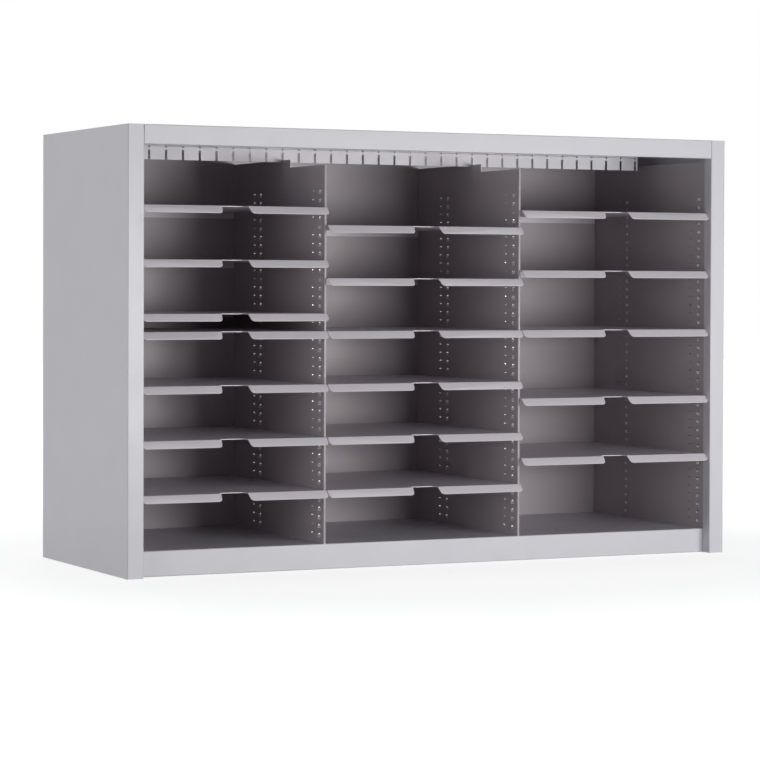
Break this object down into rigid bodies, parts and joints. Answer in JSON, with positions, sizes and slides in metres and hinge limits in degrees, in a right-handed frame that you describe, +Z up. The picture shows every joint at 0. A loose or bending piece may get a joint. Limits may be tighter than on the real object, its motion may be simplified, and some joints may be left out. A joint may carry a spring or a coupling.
{
  "type": "pigeonhole mail sorter",
  "caption": "Open-fronted sheet-steel pigeonhole mail sorter with perforated dividers, a slotted top rail and pull-out shelves with thumb notches.",
  "frame": {"origin": "centre of the footprint on the surface it stands on", "axes": "+Z up, the open front faces -Y, +X to the right seen from the front"},
  "size_m": [0.96, 0.351, 0.622],
  "materials": {
    "shell_paint": "satin light-grey powder coat",
    "inner_paint": "satin light-grey powder coat",
    "rail_paint": "satin light-grey powder coat",
    "shelf_paint": "satin light-grey powder coat",
    "rivet_paint": "satin light-grey powder coat",
    "zinc": "zinc plated"
  },
  "bodies": {
    "cabinet": {"left_side_panel": "shell_paint", "right_side_panel": "shell_paint", "top_panel": "shell_paint", "bottom_panel": "shell_paint", "back_panel": "inner_paint", "left_liner": "inner_paint", "right_liner": "inner_paint", "left_divider": "inner_paint", "right_divider": "inner_paint", "divider_rail": "rail_paint", "back_rivets": "rivet_paint", "rail_studs": "zinc", "rail_nuts": "zinc"},
    "shelf_left_1": {"shelf_left_1": "shelf_paint"},
    "shelf_left_2": {"shelf_left_2": "shelf_paint"},
    "shelf_left_3": {"shelf_left_3": "shelf_paint"},
    "shelf_left_4": {"shelf_left_4": "shelf_paint"},
    "shelf_left_5": {"shelf_left_5": "shelf_paint"},
    "shelf_left_6": {"shelf_left_6": "shelf_paint"},
    "shelf_left_7": {"shelf_left_7": "shelf_paint"},
    "shelf_middle_1": {"shelf_middle_1": "shelf_paint"},
    "shelf_middle_2": {"shelf_middle_2": "shelf_paint"},
    "shelf_middle_3": {"shelf_middle_3": "shelf_paint"},
    "shelf_middle_4": {"shelf_middle_4": "shelf_paint"},
    "shelf_middle_5": {"shelf_middle_5": "shelf_paint"},
    "shelf_middle_6": {"shelf_middle_6": "shelf_paint"},
    "shelf_right_1": {"shelf_right_1": "shelf_paint"},
    "shelf_right_2": {"shelf_right_2": "shelf_paint"},
    "shelf_right_3": {"shelf_right_3": "shelf_paint"},
    "shelf_right_4": {"shelf_right_4": "shelf_paint"},
    "shelf_right_5": {"shelf_right_5": "shelf_paint"}
  },
  "joints": [
    {"name": "shelf_left_1_slide", "type": "slide", "parent": "cabinet", "child": "shelf_left_1", "axis": [0, -1, 0], "range_m": [0, 0.36]},
    {"name": "shelf_left_2_slide", "type": "slide", "parent": "cabinet", "child": "shelf_left_2", "axis": [0, -1, 0], "range_m": [0, 0.36]},
    {"name": "shelf_left_3_slide", "type": "slide", "parent": "cabinet", "child": "shelf_left_3", "axis": [0, -1, 0], "range_m": [0, 0.36]},
    {"name": "shelf_left_4_slide", "type": "slide", "parent": "cabinet", "child": "shelf_left_4", "axis": [0, -1, 0], "range_m": [0, 0.36]},
    {"name": "shelf_left_5_slide", "type": "slide", "parent": "cabinet", "child": "shelf_left_5", "axis": [0, -1, 0], "range_m": [0, 0.36]},
    {"name": "shelf_left_6_slide", "type": "slide", "parent": "cabinet", "child": "shelf_left_6", "axis": [0, -1, 0], "range_m": [0, 0.36]},
    {"name": "shelf_left_7_slide", "type": "slide", "parent": "cabinet", "child": "shelf_left_7", "axis": [0, -1, 0], "range_m": [0, 0.36]},
    {"name": "shelf_middle_1_slide", "type": "slide", "parent": "cabinet", "child": "shelf_middle_1", "axis": [0, -1, 0], "range_m": [0, 0.36]},
    {"name": "shelf_middle_2_slide", "type": "slide", "parent": "cabinet", "child": "shelf_middle_2", "axis": [0, -1, 0], "range_m": [0, 0.36]},
    {"name": "shelf_middle_3_slide", "type": "slide", "parent": "cabinet", "child": "shelf_middle_3", "axis": [0, -1, 0], "range_m": [0, 0.36]},
    {"name": "shelf_middle_4_slide", "type": "slide", "parent": "cabinet", "child": "shelf_middle_4", "axis": [0, -1, 0], "range_m": [0, 0.36]},
    {"name": "shelf_middle_5_slide", "type": "slide", "parent": "cabinet", "child": "shelf_middle_5", "axis": [0, -1, 0], "range_m": [0, 0.36]},
    {"name": "shelf_middle_6_slide", "type": "slide", "parent": "cabinet", "child": "shelf_middle_6", "axis": [0, -1, 0], "range_m": [0, 0.36]},
    {"name": "shelf_right_1_slide", "type": "slide", "parent": "cabinet", "child": "shelf_right_1", "axis": [0, -1, 0], "range_m": [0, 0.36]},
    {"name": "shelf_right_2_slide", "type": "slide", "parent": "cabinet", "child": "shelf_right_2", "axis": [0, -1, 0], "range_m": [0, 0.36]},
    {"name": "shelf_right_3_slide", "type": "slide", "parent": "cabinet", "child": "shelf_right_3", "axis": [0, -1, 0], "range_m": [0, 0.36]},
    {"name": "shelf_right_4_slide", "type": "slide", "parent": "cabinet", "child": "shelf_right_4", "axis": [0, -1, 0], "range_m": [0, 0.36]},
    {"name": "shelf_right_5_slide", "type": "slide", "parent": "cabinet", "child": "shelf_right_5", "axis": [0, -1, 0], "range_m": [0, 0.36]}
  ]
}
